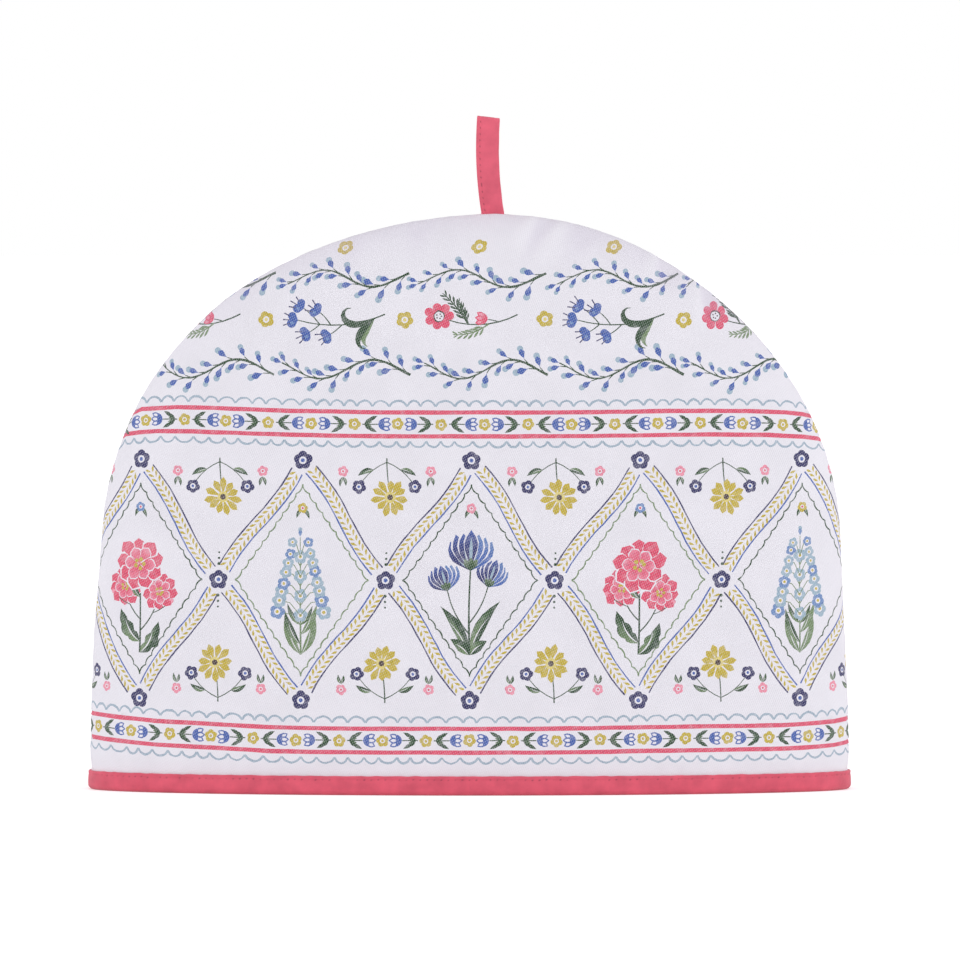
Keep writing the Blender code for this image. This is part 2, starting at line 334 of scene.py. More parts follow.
class Drawing:
    """Filled outlines on the flat cloth, later ones on top, each with a colour at both ends."""

    def __init__(self, seed):
        self.random = random.Random(seed)
        self.outlines = []
        self.colours = []
        self.axes = []

    def fill(self, points, colour, tip_colour=None, axis=None):
        """Add one filled outline, coloured from its axis's start to its end; BARE shows the cloth."""
        turning = sum(a[0] * b[1] - b[0] * a[1] for a, b in zip(points, points[1:] + points[:1]))
        self.outlines.append(points if turning > 0.0 else points[::-1])
        start, end = axis or (points[0], points[0])
        self.axes.append((*start, *end))
        if colour is BARE:
            self.colours.append((*GROUND, 0.0) * 2)
        else:
            self.colours.append((*colour, 1.0, *(tip_colour or colour), 1.0))

    def wobble(self, amount):
        """A small uneven amount, as of a hand-held brush."""
        return self.random.uniform(-amount, amount)

    def about(self, size, share):
        """A size that is off by up to a share."""
        return size * (1.0 + self.wobble(share))

    def blob(self, middle, radius, colour, count=12, squash=1.0, angle=0.0, rough=0.04):
        """A round or oval patch."""
        points = []
        for turn in spokes(count):
            reach = self.about(radius, rough)
            a, b = reach * math.cos(turn), reach * squash * math.sin(turn)
            points.append((middle[0] + a * math.cos(angle) - b * math.sin(angle),
                           middle[1] + a * math.sin(angle) + b * math.cos(angle)))
        self.fill(points, colour)

    def leaf(self, base, angle, length, width, colour, tip_colour=None, bend=0.0, peak=0.45, steps=6,
             lobes=0, right=1.0):
        """A pointed leaf or petal; peak is where it is widest, bend curves it to the left, lobes notch
        its edge, and right below 1 leaves out part of its right half."""
        near, far = [], []
        steps = max(steps, 4 * lobes)
        for index in range(1, steps):
            share = index / steps
            swell = math.sin(math.pi * share ** (math.log(0.5) / math.log(peak)))
            if lobes:
                swell *= 0.66 + 0.34 * abs(math.sin(math.pi * lobes * share))
            half = self.about(0.5 * width * swell, 0.06)
            turn = angle + bend * share
            middle = polar(base, turn, length * share)
            side = turn + UP + 0.5 * bend
            near.append(polar(middle, side, half))
            far.append(polar(middle, side, -half * right))
        tip = polar(base, angle + bend, length)
        self.fill([base] + far + [tip] + near[::-1], colour, tip_colour, (base, tip))

    def petal(self, base, angle, length, width, colour):
        """A petal with a round end."""
        middle = polar(base, angle, length - 0.5 * width)
        turns = [angle - 0.62 * math.pi + 1.24 * math.pi * index / 8 for index in range(9)]
        self.fill([base] + [polar(middle, turn, 0.5 * width) for turn in turns], colour)

    def ribbon(self, points, width_at, colour, rough):
        """A filled line through points; width_at gives its width at a share of its length."""
        left, right = [], []
        last = len(points) - 1
        for index, (u, v) in enumerate(points):
            before, after = points[max(index - 1, 0)], points[min(index + 1, last)]
            du, dv = after[0] - before[0], after[1] - before[1]
            half = self.about(0.5 * width_at(index / last), rough) / math.hypot(du, dv)
            left.append((u - half * dv, v + half * du))
            right.append((u + half * dv, v - half * du))
        self.fill(right + left[::-1], colour)

    def stroke(self, points, width, colour=GREEN, end_width=None, rough=0.08):
        """A brush line through points, with its width at the start and at the end."""
        end_width = width if end_width is None else end_width
        self.ribbon(points, lambda share: width + (end_width - width) * share, colour, rough)

    def path(self, start, length, steps, heading_at):
        """Points of a bent line; heading_at gives its direction at a share of its length."""
        points = [start]
        for index in range(steps):
            points.append(polar(points[-1], heading_at((index + 0.5) / steps), length / steps))
        return points

    def blade(self, start, angle, length, bend, curl, width, colour):
        """A slim leaf that curls towards its point, later for a larger curl."""
        points = self.path(start, length, 12, lambda share: angle + bend * share ** curl)
        self.ribbon(points, lambda share: 0.25 + width * math.sin(math.pi * share ** 0.9) ** 1.3,
                    colour, 0.05)

    def curve(self, start, angle, length, bend, width, end_width, colour=GREEN, steps=8):
        """A bent stem; gives its points, so that leaves can sit on it."""
        points = self.path(start, length, steps, lambda share: angle + bend * share)
        self.stroke(points, width, colour, end_width)
        return points


def rosette(draw, middle, radius, colour, centre, turn=None):
    """An open flower with five round petals, a bare ring and a dot."""
    for angle in spokes(5, draw.wobble(0.6) if turn is None else turn):
        draw.petal(middle, angle, draw.about(radius, 0.06), 0.96 * radius, colour)
    draw.blob(middle, 0.40 * radius, BARE)
    draw.blob(middle, 0.22 * radius, centre, count=8)


def open_flower(draw, middle, radius, colour, centre):
    """An open flower of seven round petals, with a bare, speckled middle in a dark ring."""
    for spoke in spokes(7, draw.wobble(0.4)):
        angle = spoke + draw.wobble(0.08)
        draw.petal(middle, angle, draw.about(radius, 0.08), 4.4 * radius / 7, colour)
    draw.blob(middle, 0.42 * radius, centre, count=11, rough=0.12)
    draw.blob(middle, 0.33 * radius, BARE, count=11, rough=0.10)
    speckles(draw, middle, radius, 0.065, centre, 5)


def speckles(draw, middle, radius, size, colour, count):
    """Five small dots round a flower's middle."""
    for spoke in spokes(5):
        spot = polar(middle, spoke + draw.wobble(0.3), 0.17 * radius)
        draw.blob(spot, size * radius, colour, count=count)


def bell(draw, base, angle, size, colour, inside):
    """A cup-shaped flower: a painted bowl with three outlined petals above it."""
    for spread in (0.44, -0.44, 0.0):
        turn = angle + spread
        draw.leaf(base, turn, 1.05 * size, 0.47 * size, colour, peak=0.62)
        draw.leaf(polar(base, turn, 0.3 * size), turn, 0.62 * size, 0.24 * size, inside, peak=0.6)
    heart = polar(base, angle, 0.50 * size)
    turns = [angle + math.pi * (0.5 + index / 8) for index in range(9)]
    draw.fill([polar(heart, turn, 0.46 * size) for turn in turns], colour)


def bud(draw, foot, angle, length, colour, tip):
    """A drop-shaped bud, dark at its stalk and pale at its round end."""
    draw.petal(foot, angle, length, 0.42 * length, tip)
    draw.leaf(foot, angle, 0.74 * length, 0.40 * length, colour, peak=0.66)


def two_tone_leaf(draw, base, angle, length, width, bend, dark=GREEN, lobes=0):
    """A leaf with a dark blade, a paler half and a bare vein."""
    draw.leaf(base, angle, length, width, dark, bend=bend, lobes=lobes)
    draw.leaf(base, angle, 0.94 * length, width, SAGE, dark, bend=bend, lobes=lobes, right=0.06)
    draw.leaf(base, angle + 0.03, 0.72 * length, 0.09 * width, BARE, bend=bend)


def leaf_pair(draw, base, angle, spread, length, width):
    """Two leaves, one on each side, each with a pale half."""
    for side in (-1.0, 1.0):
        two_tone_leaf(draw, base, angle + side * spread, draw.about(length, 0.08), width, -side * 0.4)


def fern(draw, base, angle, length, bend, colour):
    """A feathery twig."""
    twig = draw.curve(base, angle, length, bend, 0.80, 0.45, colour, steps=7)
    for index in range(1, 7):
        heading = angle + bend * index / 7
        for side in (-1.0, 1.0):
            reach = draw.about(length * (0.34 - 0.026 * index), 0.15)
            draw.leaf(twig[index], heading + side * 0.50, reach, 0.24 * reach, colour, peak=0.6, steps=4)


def swags(draw, start, end, level, pitch, hang):
    """A line of pale scallops along a level, hanging for hang 1 and arching up for hang -1."""
    while start < end:
        span = draw.about(pitch, 0.22)
        points = []
        for index in range(7):
            share = index / 6
            u = start + span * share
            drop = draw.about((4.0 * share * (1.0 - share)) ** 0.75, 0.07)
            points.append((u, level(u) + hang * SCALLOP_HEIGHT * (0.5 - drop)))
        draw.stroke(points, draw.about(0.95, 0.15), SCALLOP, rough=0.16)
        start += span


def stripe(draw, level):
    """A printed coral line from seam to seam, following a level."""
    count = round(2.0 * CLOTH.half_width / 9.0)
    points = []
    for index in range(count + 1):
        u = CLOTH.half_width * (2.0 * index / count - 1.0) * 1.004
        points.append((u, level(u) + draw.wobble(0.10)))
    draw.stroke(points, LINE_WIDTH, CORAL, rough=0.07)


# ---------------------------------------------------------------- the print

# How the two bands wander on the sewn cosy: share of the half width, then the lift in millimetres
LOWER_BAND_LIFT = ((-1.00, 5.2), (-0.87, 3.7), (-0.77, 2.5), (-0.67, 1.9), (-0.47, 0.3), (-0.30, 0.0),
                   (0.20, 0.0), (0.45, 0.5), (0.80, 0.5), (0.93, 1.7), (1.00, 2.8))
UPPER_BAND_LIFT = ((-1.00, -1.6), (-0.96, 0.7), (-0.85, 2.2), (-0.74, 2.1), (-0.50, 0.9), (-0.25, 0.3),
                   (0.30, 0.3), (0.65, 0.9), (0.80, 0.4), (0.91, -0.7), (1.00, -2.4))


def level_at(v, lifts):
    """A line at v that wanders as the band does."""
    edge = float(CLOTH.half_width_at(v))
    shares, heights = zip(*lifts)

    def level(u):
        return v + float(np.interp(u / edge, shares, heights))
    return level


def border(draw, v, height, lifts, shift):
    """Two coral lines with a ribbon of tulips and rosettes between them and pale scallops outside."""
    upper, middle, lower = (level_at(v + share * height, lifts) for share in (0.5, 0.0, -0.5))
    stripe(draw, upper)
    stripe(draw, lower)
    reach = CLOTH.half_width + 4.0
    swags(draw, -reach, reach, lambda u: upper(u) + 4.0, 7.4, -1.0)
    swags(draw, -reach - 3.0, reach, lambda u: lower(u) - 3.7, 7.6, 1.0)
    count = math.ceil(reach / RIBBON_PITCH)
    for index in range(-count, count + 1):
        u = index * RIBBON_PITCH + shift
        rosette(draw, (u, middle(u) + draw.wobble(0.3)), 2.9, MUSTARD, MUSTARD)
        if index % 2:
            for side in (-1.0, 1.0):
                ribbon_tulip(draw, middle, u, side)


def ribbon_tulip(draw, middle, start, side):
    """A lying tulip with a pair of leaves at its foot, pointing away from the rosette at start."""
    heading = 0.0 if side > 0.0 else math.pi
    foot, fork, neck = ((start + side * reach, middle(start + side * reach)) for reach in (3.6, 4.5, 10.7))
    draw.stroke([foot, (fork[0], fork[1] + draw.wobble(0.15)), neck], 0.50)
    for side in (-1.0, 1.0):
        length = draw.about(7.0, 0.06)
        draw.leaf(fork, heading + 0.70 * side, length, 2.15, GREEN, bend=-0.14 * side, peak=0.46, lobes=2)
        draw.leaf(fork, heading + 0.30 * side, 0.55 * length, 1.05, GREEN, SAGE, peak=0.5, steps=4)
    bell(draw, neck, heading, draw.about(5.9, 0.05), BLUE, BARE)


def garland(draw, level, rise, size, start):
    """Leafy sprays one after another, pointing left, each waving once, with buds along both sides."""
    side = 1.0
    while start > -CLOTH.half_width - 2.0:
        length = draw.about(SPRAY_LENGTH, 0.03)

        def place(reach):
            return start - reach, level + rise * math.sin(TURN * (reach / length - 0.085) / 0.82)

        def heading(reach):
            return measure(place(reach), place(reach + 0.5))[1]
        draw.stroke([place(length * k / 22) for k in range(23)], 1.20, GREEN, 0.55, rough=0.24)
        reach = 2.6
        while reach < length:
            angle = heading(reach) + side * (0.62 + draw.wobble(0.14))
            bud_length = draw.about(size * (1.06 - 0.22 * reach / length), 0.14)
            foot = polar(place(reach), angle, 0.33 * bud_length)
            draw.stroke([place(reach - 1.3), foot], 0.55, GREEN, 0.38)
            bud(draw, foot, angle + 0.10 * side, bud_length, BLUE, PALE_BLUE)
            side = -side
            reach += draw.about(BUD_STEP, 0.10)
        bud(draw, place(length), heading(length), 0.85 * size, BLUE, PALE_BLUE)
        start -= SPRAY_PITCH


def iris_bunch(draw, foot, size):
    """Three blue cups on tall stems between strap leaves."""
    u, v = foot
    for side, lean, length, bend in ((-1.0, 0.22, 0.44, 0.30), (1.0, 0.16, 0.48, 0.34),
                                     (-1.0, 0.50, 0.19, 0.35), (1.0, 0.46, 0.17, 0.40)):
        two_tone_leaf(draw, (u + 0.5 * side, v), UP - side * lean, length * size, 0.085 * size, -side * bend)
    stem = draw.curve(foot, 1.60, 0.66 * size, -0.06, 1.0, 0.7)
    for side, start, reach in ((-1.0, 2, 0.38), (1.0, 3, 0.32)):
        twig = draw.curve(stem[start], UP - side * 0.72, reach * size, side * 0.50, 0.7, 0.5)
        blue_cup(draw, twig[-1], UP - side * 0.30, 0.22 * size)
    blue_cup(draw, stem[-1], UP, 0.31 * size)


def blue_cup(draw, base, angle, size):
    """A many-petalled blue cup, painted in dark and pale strokes."""
    for index, spread in enumerate((0.95, -0.95, 0.62, -0.62, 0.32, -0.32, 0.0)):
        length = draw.about(size * (0.80 + 0.20 * math.cos(spread)), 0.05)
        shades = ((NAVY, BLUE), (BLUE, SKY))[index % 2]
        for share, width, colours in ((1.06, 0.40, (BARE,)), (1.0, 0.34, shades),
                                      (0.82, 0.09, (PALE_BLUE,))):
            draw.leaf(base, angle + spread, share * length, width * size, *colours, bend=-0.35 * spread,
                      peak=0.62)
    for spread in (-0.5, 0.0, 0.5):
        draw.leaf(base, angle + spread, 0.34 * size, 0.15 * size, GREEN, SAGE, peak=0.55)


def peony_bunch(draw, foot, size):
    """A large coral flower over two smaller ones, with lobed leaves."""
    stem = draw.curve(foot, 1.52, 0.70 * size, 0.10, 0.95, 0.6)
    for side, start, reach in ((-1.0, 3, 0.30), (1.0, 2, 0.36)):
        twig = draw.curve(stem[start], UP - side * 0.85, reach * size, side * 0.70, 0.65, 0.45)
        coral_head(draw, twig[-1], UP - side * 0.3, 0.155 * size)
        shoot = draw.curve(twig[4], UP - side * 1.25, 0.12 * size, side * 0.3, 0.4, 0.4)
        bud(draw, shoot[-1], UP - side * 0.9, 0.09 * size, CORAL, ROSE)
    for side, start, lean, length, width, bend, lobes in (
            (-1.0, 1, 1.05, 0.31, 0.40, 0.45, 3), (1.0, 0, 1.05, 0.30, 0.40, 0.45, 3),
            (-1.0, 5, 0.90, 0.15, 0.34, 0.30, 0), (1.0, 6, 0.90, 0.14, 0.34, 0.30, 0)):
        two_tone_leaf(draw, stem[start], UP - side * lean, length * size, width * length * size,
                      side * bend, lobes=lobes)
    coral_head(draw, stem[-1], UP + 0.05, 0.215 * size)


def coral_head(draw, middle, angle, radius):
    """A round coral flower of two rings of petals."""
    for count, reach, width, turn, tip in ((9, 1.0, 0.62, 0.0, CORAL), (6, 0.62, 0.42, 0.4, ROSE)):
        for spoke in spokes(count, angle + turn):
            heading = spoke + draw.wobble(0.05)
            length = draw.about(reach * radius, 0.07)
            draw.leaf(middle, heading, 1.05 * length, 1.16 * width * radius, BARE, peak=0.70)
            draw.leaf(middle, heading, length, width * radius, CORAL, tip, peak=0.70)
    speckles(draw, middle, radius, 0.085, MUSTARD, 6)


def spire_bunch(draw, foot, size):
    """A tall spike of pale blue florets with narrow sage leaves."""
    stem = draw.curve(foot, 1.57, 0.92 * size, 0.04, 0.85, 0.35, SAGE, steps=12)
    for side, start, length in ((-1.0, 0, 0.34), (1.0, 0, 0.32), (-1.0, 1, 0.30), (1.0, 2, 0.27),
                                (-1.0, 3, 0.20), (1.0, 3, 0.18)):
        two_tone_leaf(draw, stem[start], UP - side * (0.72 + 0.06 * start), length * size,
                      0.20 * length * size, side * 0.35, GREEN if start % 2 else SAGE)
    for index in range(4, 12):
        u, v = stem[index]
        reach = (0.185 - 0.0175 * (index - 4)) * size
        for side in (-1.0, 1.0):
            spot = (u + side * reach, v + (0.03 + draw.wobble(0.012)) * size)
            draw.stroke([stem[index - 1], (0.5 * (u + spot[0]), spot[1] - 1.0), spot], 0.4, SAGE)
            colour = SKY if (index + side) % 3 < 1 else PALE_BLUE
            rosette(draw, spot, (0.062 - 0.003 * (index - 4)) * size, colour, MUSTARD)
        if index % 2 == 0:
            rosette(draw, (u, v), 0.055 * size, PALE_BLUE, MUSTARD)
    bud(draw, stem[-1], UP, 0.08 * size, SKY, PALE_BLUE)


def corner_sprig(draw, foot, angle, size):
    """A daisy with two side flowers, for the places between the lozenges."""
    stem = draw.curve(foot, angle, 0.36 * size, 0.12, 0.65, 0.45, steps=6)
    for side in (-1.0, 1.0):
        twig = draw.curve(stem[1], angle - side * 1.20, 0.56 * size, side * 0.70, 0.45, 0.35, steps=5)
        rosette(draw, twig[-1], 0.105 * size, NAVY, BLUE)
        two_tone_leaf(draw, twig[2], angle - side * 1.6, 0.25 * size, 0.08 * size, side * 0.4)
    head = polar(stem[-1], angle + 0.12, 0.22 * size)
    for spoke in spokes(11, angle + math.pi / 11):
        heading = spoke + draw.wobble(0.06)
        draw.leaf(head, heading, draw.about(0.27 * size, 0.10), 0.105 * size, MUSTARD, peak=0.72, steps=5)
    draw.blob(head, 0.085 * size, STRAW, count=9)
    draw.blob(head, 0.045 * size, BROWN, count=7)


def trellis_side(draw, start, end):
    """One side of a lozenge, in a slight S: a leafy twig between two thin lines."""
    length, angle = measure(start, end)
    trim = 5.6

    def place(along, off):
        return beside(start, angle, along, off + 1.5 * math.sin(TURN * along / length))
    for off, colour in ((-2.9, NAVY), (2.9, BLUE)):
        line = []
        for index in range(13):
            line.append(place(trim + (length - 2.0 * trim) * index / 12, off + draw.wobble(0.13)))
        draw.stroke(line, 0.65, colour, rough=0.25)
    along = trim + 0.8
    while along < length - trim - 2.2:
        for side in (-1.0, 1.0):
            base = place(along + 0.3 * side, 0.25 * side)
            draw.leaf(base, angle + side * 0.62, draw.about(3.3, 0.1), 1.15, MUSTARD, peak=0.6, steps=5)
        along += 2.75


def wavy_inner(draw, corners, colour):
    """A thin wavy line inside a lozenge."""
    inset = 0.80
    middle_u, middle_v = (sum(values) / 4.0 for values in zip(*corners))
    inner = [(middle_u + inset * (u - middle_u), middle_v + inset * (v - middle_v)) for u, v in corners]
    for start, end in zip(inner, inner[1:] + inner[:1]):
        length, angle = measure(start, end)
        waves = round(length / 5.6)
        line = []
        for step in range(5 * waves + 1):
            share = step / (5 * waves)
            lift = 0.85 * abs(math.sin(math.pi * waves * share)) ** 0.7
            line.append(beside(start, angle, length * share, lift))
        draw.stroke(line, 0.6, colour, rough=0.25)


def trellis(draw, bottom, top):
    """Lozenges across the middle of the panel, each with its own bunch of flowers."""
    half_v, middle_v = 0.5 * (top - bottom), 0.5 * (top + bottom)
    bunches = (iris_bunch, peony_bunch, spire_bunch)
    for index in range(-3, 4):
        u = 2.0 * LOZENGE_HALF * index
        left, right = (u - LOZENGE_HALF, middle_v), (u + LOZENGE_HALF, middle_v)
        low, high = (u, bottom), (u, top)
        wavy_inner(draw, (left, low, right, high), SAGE if index % 2 else GREEN)
        bunches[index % 3](draw, (u, bottom + 0.38 * half_v), 1.06 * half_v)
        crest = (u, top - 0.40 * half_v)
        leaf_pair(draw, crest, -UP, 0.95, 5.6, 1.7)
        rosette(draw, crest, 2.4, (ROSE, SKY, MUSTARD)[index % 3], CORAL)
        for v, lift in ((bottom, 1.0), (top, -1.0)):
            corner_sprig(draw, (u + LOZENGE_HALF, v - lift), lift * UP, 31.0)
        for side in (-1.0, 1.0):
            for v, lift in ((bottom, 1.0), (top, -1.0)):
                spot = (u + LOZENGE_HALF + side * 20.0, v + lift * 5.0)
                rosette(draw, spot, 2.5, ROSE, CORAL)
                leaf_pair(draw, (spot[0], spot[1] + 2.6 * lift), lift * UP, 0.7, 4.4, 1.5)
        for start, end in ((low, right), (right, high), (high, left), (left, low)):
            trellis_side(draw, start, end)
    for index in range(-3, 4):
        u = 2.0 * LOZENGE_HALF * index
        for node in ((u - LOZENGE_HALF, middle_v), (u, bottom), (u, top)):
            rosette(draw, node, 4.4, NAVY, BLUE, turn=UP)
        for side in (-1.0, 1.0):
            for k in range(3):
                spot = (u - LOZENGE_HALF, middle_v + side * (7.2 + 2.6 * k))
                draw.blob(spot, 0.75 - 0.13 * k, GREEN, count=7)


def upper_rows(draw, base):
    """The domed part above the upper border: two garlands, a row of lying sprigs and loose flowers."""
    garland(draw, base + 15.0, 4.4, 6.8, 222.6)
    garland(draw, base + 57.6, -4.1, 6.6, 158.0)
    for index in range(-3, 4):
        u = index * ROW_PITCH
        if index % 2:
            blue_sprig(draw, (u + 24.5, base + 40.6), 50.0, math.pi)
        else:
            coral_sprig(draw, (u + 21.0, base + 40.6), 38.0, math.pi)
        spot = (u + 0.5 * ROW_PITCH + 1.5, base + 38.2 + draw.wobble(0.8))
        rosette(draw, spot, 3.9, MUSTARD, STRAW)
    for u in (-62.0, 0.0, 62.0):
        rosette(draw, (u, base + 73.0), 3.8, MUSTARD, STRAW)


def round_blossom(draw, base, angle, size):
    """A round blue blossom of two lobes with three dark stamens."""
    draw.petal(base, angle - 0.55, 0.95 * size, 0.72 * size, BLUE)
    draw.petal(base, angle + 0.50, size, 0.80 * size, BLUE)
    draw.blob(polar(base, angle + 0.5, 0.55 * size), 0.17 * size, SKY, squash=0.7, angle=angle)
    for spread in (-0.42, 0.02, 0.40):
        ends = [polar(base, angle + spread, reach * size) for reach in (0.72, 1.35 + draw.wobble(0.1))]
        draw.stroke(ends, 0.42, NAVY, 0.62)


def blue_sprig(draw, foot, size, heading):
    """A lying sprig with round blue blossoms at its far end and three curling leaves."""
    stem = draw.curve(foot, heading + 0.42, 0.82 * size, -0.70, 0.75, 0.45)
    for turn, length, bend, curl, width, colour in ((0.88, 0.31, 1.7, 2.6, 0.070, SAGE),
                                                    (0.75, 0.38, 2.6, 3.2, 0.060, GREEN),
                                                    (0.45, 0.46, -3.9, 2.4, 0.062, GREEN)):
        draw.blade(stem[1], heading + turn, length * size, bend, curl, width * size, colour)
    for turn, start, reach in ((-0.95, 6, 0.21), (-1.05, 5, 0.15), (0.80, 6, 0.11), (0.85, 4, 0.13)):
        twig = draw.curve(stem[start], heading + turn, reach * size, -0.35 * turn, 0.6, 0.4)
        round_blossom(draw, twig[-1], heading + 0.55 * turn, 0.105 * size)
    round_blossom(draw, stem[-1], heading - 0.05, 0.110 * size)


def coral_sprig(draw, foot, size, heading):
    """A lying sprig with a coral open flower, a smaller one and feathery leaves."""
    stem = draw.curve(foot, heading + 0.50, 0.98 * size, -0.95, 0.7, 0.5)
    twig = draw.curve(stem[2], heading - 0.35, 0.13 * size, 0.25, 0.6, 0.4)
    bell(draw, twig[-1], heading - 0.15, 0.155 * size, CORAL, ROSE)
    for turn, start, reach, bend, colour in ((-1.30, 5, 0.34, 0.30, GREEN), (-1.05, 5, 0.50, 0.35, GREEN),
                                             (0.70, 3, 0.46, -0.80, SAGE)):
        fern(draw, stem[start], heading + turn, reach * size, bend, colour)
    open_flower(draw, stem[-1], 0.175 * size, CORAL, BROWN)


def draw_print():
    """The whole print of one panel."""
    draw = Drawing(PRINT_SEED)
    trellis(draw, TRELLIS_BOTTOM, TRELLIS_TOP)
    upper_rows(draw, DOME_PRINT_V)
    border(draw, LOWER_BAND_V, LOWER_BAND_HEIGHT, LOWER_BAND_LIFT, 0.0)
    border(draw, UPPER_BAND_V, UPPER_BAND_HEIGHT, UPPER_BAND_LIFT, UPPER_BAND_SHIFT)
    return draw


# ---------------------------------------------------------------- the panels' meshes

def new_mesh(name, vertices, faces, material):
    """A mesh of a given material."""
    mesh = bpy.data.meshes.new(name)
    mesh.from_pydata(vertices.tolist(), [], faces)
    mesh.materials.append(material)
    return mesh


def add_attribute(mesh, name, kind, domain, values):
    """Store numbers or vectors at a mesh's points or corners."""
    key = "vector" if kind == "FLOAT_VECTOR" else "value"
    data = mesh.attributes.new(name, kind, domain).data
    data.foreach_set(key, np.asarray(values, np.float32).ravel())


def finish_piece(mesh, sharp_angle):
    """Smooth a mesh below an angle in degrees and put it in the scene."""
    mesh.shade_smooth()
    mesh.set_sharp_from_angle(angle=math.radians(sharp_angle))
    piece = bpy.data.objects.new(mesh.name, mesh)
    bpy.context.scene.collection.objects.link(piece)
    return piece


def distance_to(edge, places):
    """Distance in millimetres from flat places to the nearest of some points."""
    nearest = np.full(len(places), 1e9)
    for start in range(0, len(edge), 40):
        part = edge[start:start + 40]
        gaps = np.hypot(places[:, None, 0] - part[None, :, 0], places[:, None, 1] - part[None, :, 1])
        nearest = np.minimum(nearest, gaps.min(axis=1))
    return nearest


def seam_points(step):
    """Points along the seam, with the two hem corners where it ends."""
    return np.array([point for point in CLOTH.outline(step) if point[1] > 0.0 or abs(point[0]) > 190.0])


def seam_distance(places):
    """Distance in millimetres from flat places to the seam, within 0.25 mm of the truth near it."""
    coarse, fine = (seam_points(step) for step in (5.0, 0.5))
    distance = distance_to(coarse, places)
    near = distance < 9.0
    distance[near] = distance_to(fine, places[near])
    return distance


def grid_places():
    """Even points over the flat cloth, with closer rows along the seam."""
    places = []
    for row in range(1, round(CLOTH.height / (ROW_SHARE * GRID_STEP))):
        v = row * ROW_SHARE * GRID_STEP
        half = float(CLOTH.half_width_at(v)) - GRID_INSET
        columns = int(2.0 * half / GRID_STEP)
        for column in range(columns + 1):
            u = -0.5 * columns * GRID_STEP + column * GRID_STEP + 0.5 * (row % 2) * GRID_STEP
            if abs(u) < half and v < CLOTH.height - GRID_INSET:
                places.append((u, v))
    outline = CLOTH.outline(2.0 * EDGE_STEP)
    for before, (u, v), after in zip(outline[-1:] + outline[:-1], outline, outline[1:] + outline[:1]):
        du, dv = after[0] - before[0], after[1] - before[1]
        size = math.hypot(du, dv)
        for inset in SEAM_ROWS:
            place = (u - inset * dv / size, v + inset * du / size)
            if place[1] > 1.0 and abs(place[0]) < float(CLOTH.half_width_at(place[1])) - 0.5 * inset:
                places.append(place)
    return places


def cut_cloth(draw):
    """Cut the flat cloth into triangles along the print's outlines, with the ink at their corners."""
    points = []
    faces = []
    for outline in [CLOTH.outline(EDGE_STEP)] + draw.outlines:
        faces.append(list(range(len(points), len(points) + len(outline))))
        points.extend(Vector(point) for point in outline)
    points.extend(Vector(place) for place in grid_places())
    result = delaunay_2d_cdt(points, [], faces, 1, 1e-4, True)
    places = np.array([tuple(point) for point in result[0]])
    kept = [(face, max(ids)) for face, ids in zip(result[2], result[5]) if 0 in ids]
    triangles = np.array([face for face, top in kept])
    tops = np.array([top for face, top in kept])
    used, triangles = np.unique(triangles, return_inverse=True)
    places, triangles = places[used], triangles.reshape(-1, 3)
    return places, triangles, corner_colours(draw, places, triangles, tops)


def border_loop(triangles):
    """The vertices along the open edge of the triangles, in order."""
    edges = np.concatenate([triangles[:, [0, 1]], triangles[:, [1, 2]], triangles[:, [2, 0]]])
    present = {(int(a), int(b)) for a, b in edges}
    follow = {a: b for a, b in present if (b, a) not in present}
    start = next(iter(follow))
    loop = [start]
    while follow[loop[-1]] != start:
        loop.append(follow[loop[-1]])
    return loop


def corner_colours(draw, places, triangles, tops):
    """Ink colour and strength at each corner of each triangle."""
    chosen = np.array([(*GROUND, 0.0) * 2] + draw.colours)[tops]
    axis = np.array([(0.0,) * 4] + draw.axes)[tops]
    line = axis[:, 2:] - axis[:, :2]
    square = np.maximum((line ** 2).sum(axis=1), 1e-9)
    out = np.zeros((len(triangles), 3, 4))
    for corner in range(3):
        reach = places[triangles[:, corner]] - axis[:, :2]
        share = np.clip((reach * line).sum(axis=1) / square, 0.0, 1.0)[:, None] ** 2
        out[:, corner] = (1.0 - share) * chosen[:, :4] + share * chosen[:, 4:]
    out[..., :3] = linear(out[..., :3])
    return out.reshape(-1, 4)


def squeeze_at(z):
    """How far the binding presses the cloth in at height z."""
    return HEM_SQUEEZE * (1.0 - ease(np.clip((z - BINDING_HEIGHT) / SQUEEZE_FADE, 0.0, 1.0)))


# Soft creases in the cloth: place on the flat cloth, half length, half width, lean and height,
# in millimetres; a height above zero is a ridge
CREASES = (
    # u, v, half length, half width, lean, height
    (19.0, 263.0, 15.0, 3.2, 0.16, 0.80),
    (26.0, 261.0, 17.0, 3.6, 0.20, -0.95),
    (34.0, 259.0, 15.0, 3.4, 0.22, 0.75),
    (47.0, 257.0, 14.0, 6.0, 0.25, -0.80),
    (83.0, 248.0, 12.0, 2.8, 0.20, 0.95),
    (91.0, 244.0, 13.0, 5.5, 0.30, -1.05),
    (104.0, 226.0, 13.0, 2.6, 0.02, 0.95),
    (110.0, 229.0, 13.0, 4.4, 0.05, -0.90),
    (-30.0, 260.0, 13.0, 5.0, -0.15, -0.70),
    (-60.0, 256.0, 16.0, 5.0, -0.22, -0.60),
    (-96.0, 238.0, 15.0, 5.0, -0.30, 0.55),
    (-150.0, 110.0, 8.0, 40.0, 0.0, 0.35),
    (158.0, 60.0, 7.0, 34.0, 0.0, -0.40),
)


def crease_height(places):
    """Rise and fall of the listed creases in millimetres."""
    u, v = places.T
    height = np.zeros(len(places))
    for middle_u, middle_v, half_length, half_width, lean, rise in CREASES:
        along = v - middle_v
        off = u - middle_u - lean * along
        height += rise * np.exp(-(off / half_width) ** 2 - (along / half_length) ** 2)
    return height


